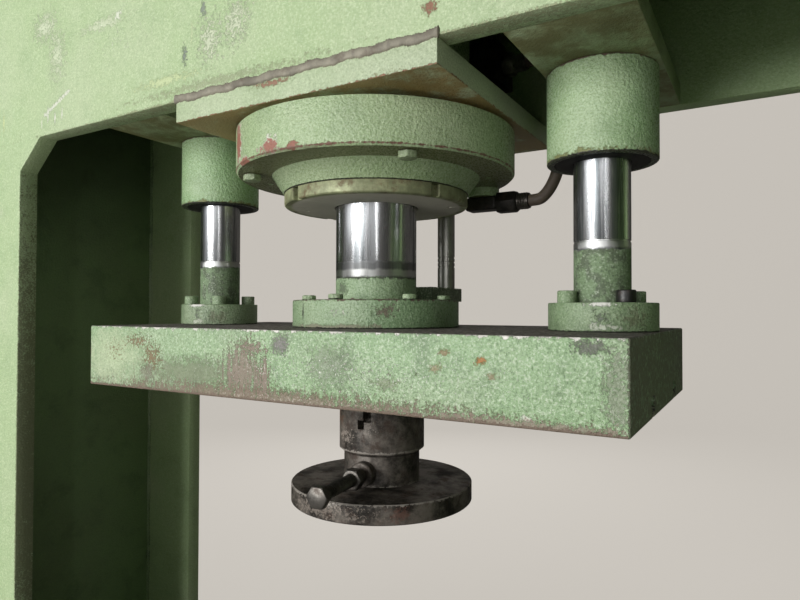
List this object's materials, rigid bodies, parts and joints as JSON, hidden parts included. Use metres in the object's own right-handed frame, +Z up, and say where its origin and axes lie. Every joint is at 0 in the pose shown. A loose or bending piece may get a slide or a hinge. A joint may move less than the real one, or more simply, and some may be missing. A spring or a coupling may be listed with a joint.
{
  "type": "hydraulic press",
  "caption": "Portal-frame hydraulic press: an upper cylinder drives a guided platen with T-slots and a round tool disc over a fixed bed.",
  "frame": {"origin": "floor level under the axis of the ram, at the bottom centre of the whole press", "axes": "+Z up along the ram's axis, +X along the press's width, -Y towards the front"},
  "size_m": [2.478, 0.61, 2.7753],
  "materials": {
    "green_paint": "hammered light green enamel, worn and stained",
    "dark_green_paint": "dark green enamel, grimy",
    "hard_chrome": "polished along its length, duller at the foot",
    "ground_steel": "ground",
    "turned_steel": "turned, dull",
    "oiled_black_steel": "black with old oil",
    "bare_weld": "as welded, unpainted",
    "bearing_bronze": "turned",
    "black_rubber": "matt"
  },
  "bodies": {
    "frame": {"front_plate": "green_paint", "rear_plate": "green_paint", "column_web_left": "green_paint", "column_web_right": "green_paint", "crown_top_plate": "green_paint", "guide_bridge_left": "green_paint", "guide_bridge_right": "green_paint", "cylinder_pad": "green_paint", "pad_weld_bead": "bare_weld", "bed_table": "turned_steel", "bed_rib_left": "green_paint", "bed_rib_right": "green_paint", "foot_left": "dark_green_paint", "foot_right": "dark_green_paint", "cylinder_body": "green_paint", "cylinder_cap": "green_paint", "cylinder_bolt_1": "turned_steel", "cylinder_bolt_2": "turned_steel", "cylinder_bolt_3": "turned_steel", "gland_ring": "turned_steel", "gland_bush": "bearing_bronze", "rod_seal": "black_rubber", "wiper_ring": "black_rubber", "guide_housing_left": "green_paint", "guide_housing_right": "green_paint", "guide_liner_left": "bearing_bronze", "guide_liner_right": "bearing_bronze", "guide_scraper_left": "black_rubber", "guide_scraper_right": "black_rubber", "port_elbow": "oiled_black_steel", "hose_nut": "oiled_black_steel", "hose_ferrule": "oiled_black_steel", "return_hose": "black_rubber", "hose_upper_fitting": "turned_steel", "valve_block": "turned_steel", "cap_pipe": "turned_steel", "supply_pipe": "turned_steel", "drain_pipe": "turned_steel"},
    "ram": {"ram_rod": "hard_chrome", "piston": "ground_steel", "piston_seal": "black_rubber", "ram_flange": "green_paint", "ram_flange_bolt_1": "dark_green_paint", "ram_flange_bolt_2": "dark_green_paint", "ram_flange_bolt_3": "dark_green_paint", "ram_flange_bolt_4": "dark_green_paint", "ram_flange_bolt_5": "dark_green_paint", "ram_flange_bolt_6": "dark_green_paint", "platen": "green_paint", "guide_rod_left": "ground_steel", "guide_rod_right": "ground_steel", "guide_rod_flange_left": "green_paint", "guide_rod_flange_right": "green_paint", "travel_rod_arm": "dark_green_paint", "travel_rod": "ground_steel", "tool_sleeve": "oiled_black_steel", "tool_disc": "oiled_black_steel", "clamp_screw": "oiled_black_steel", "lock_nut": "oiled_black_steel"}
  },
  "joints": [
    {"name": "ram_slide", "type": "slide", "parent": "frame", "child": "ram", "axis": [0, 0, 1], "range_m": [-0.365, 0.135]}
  ]
}
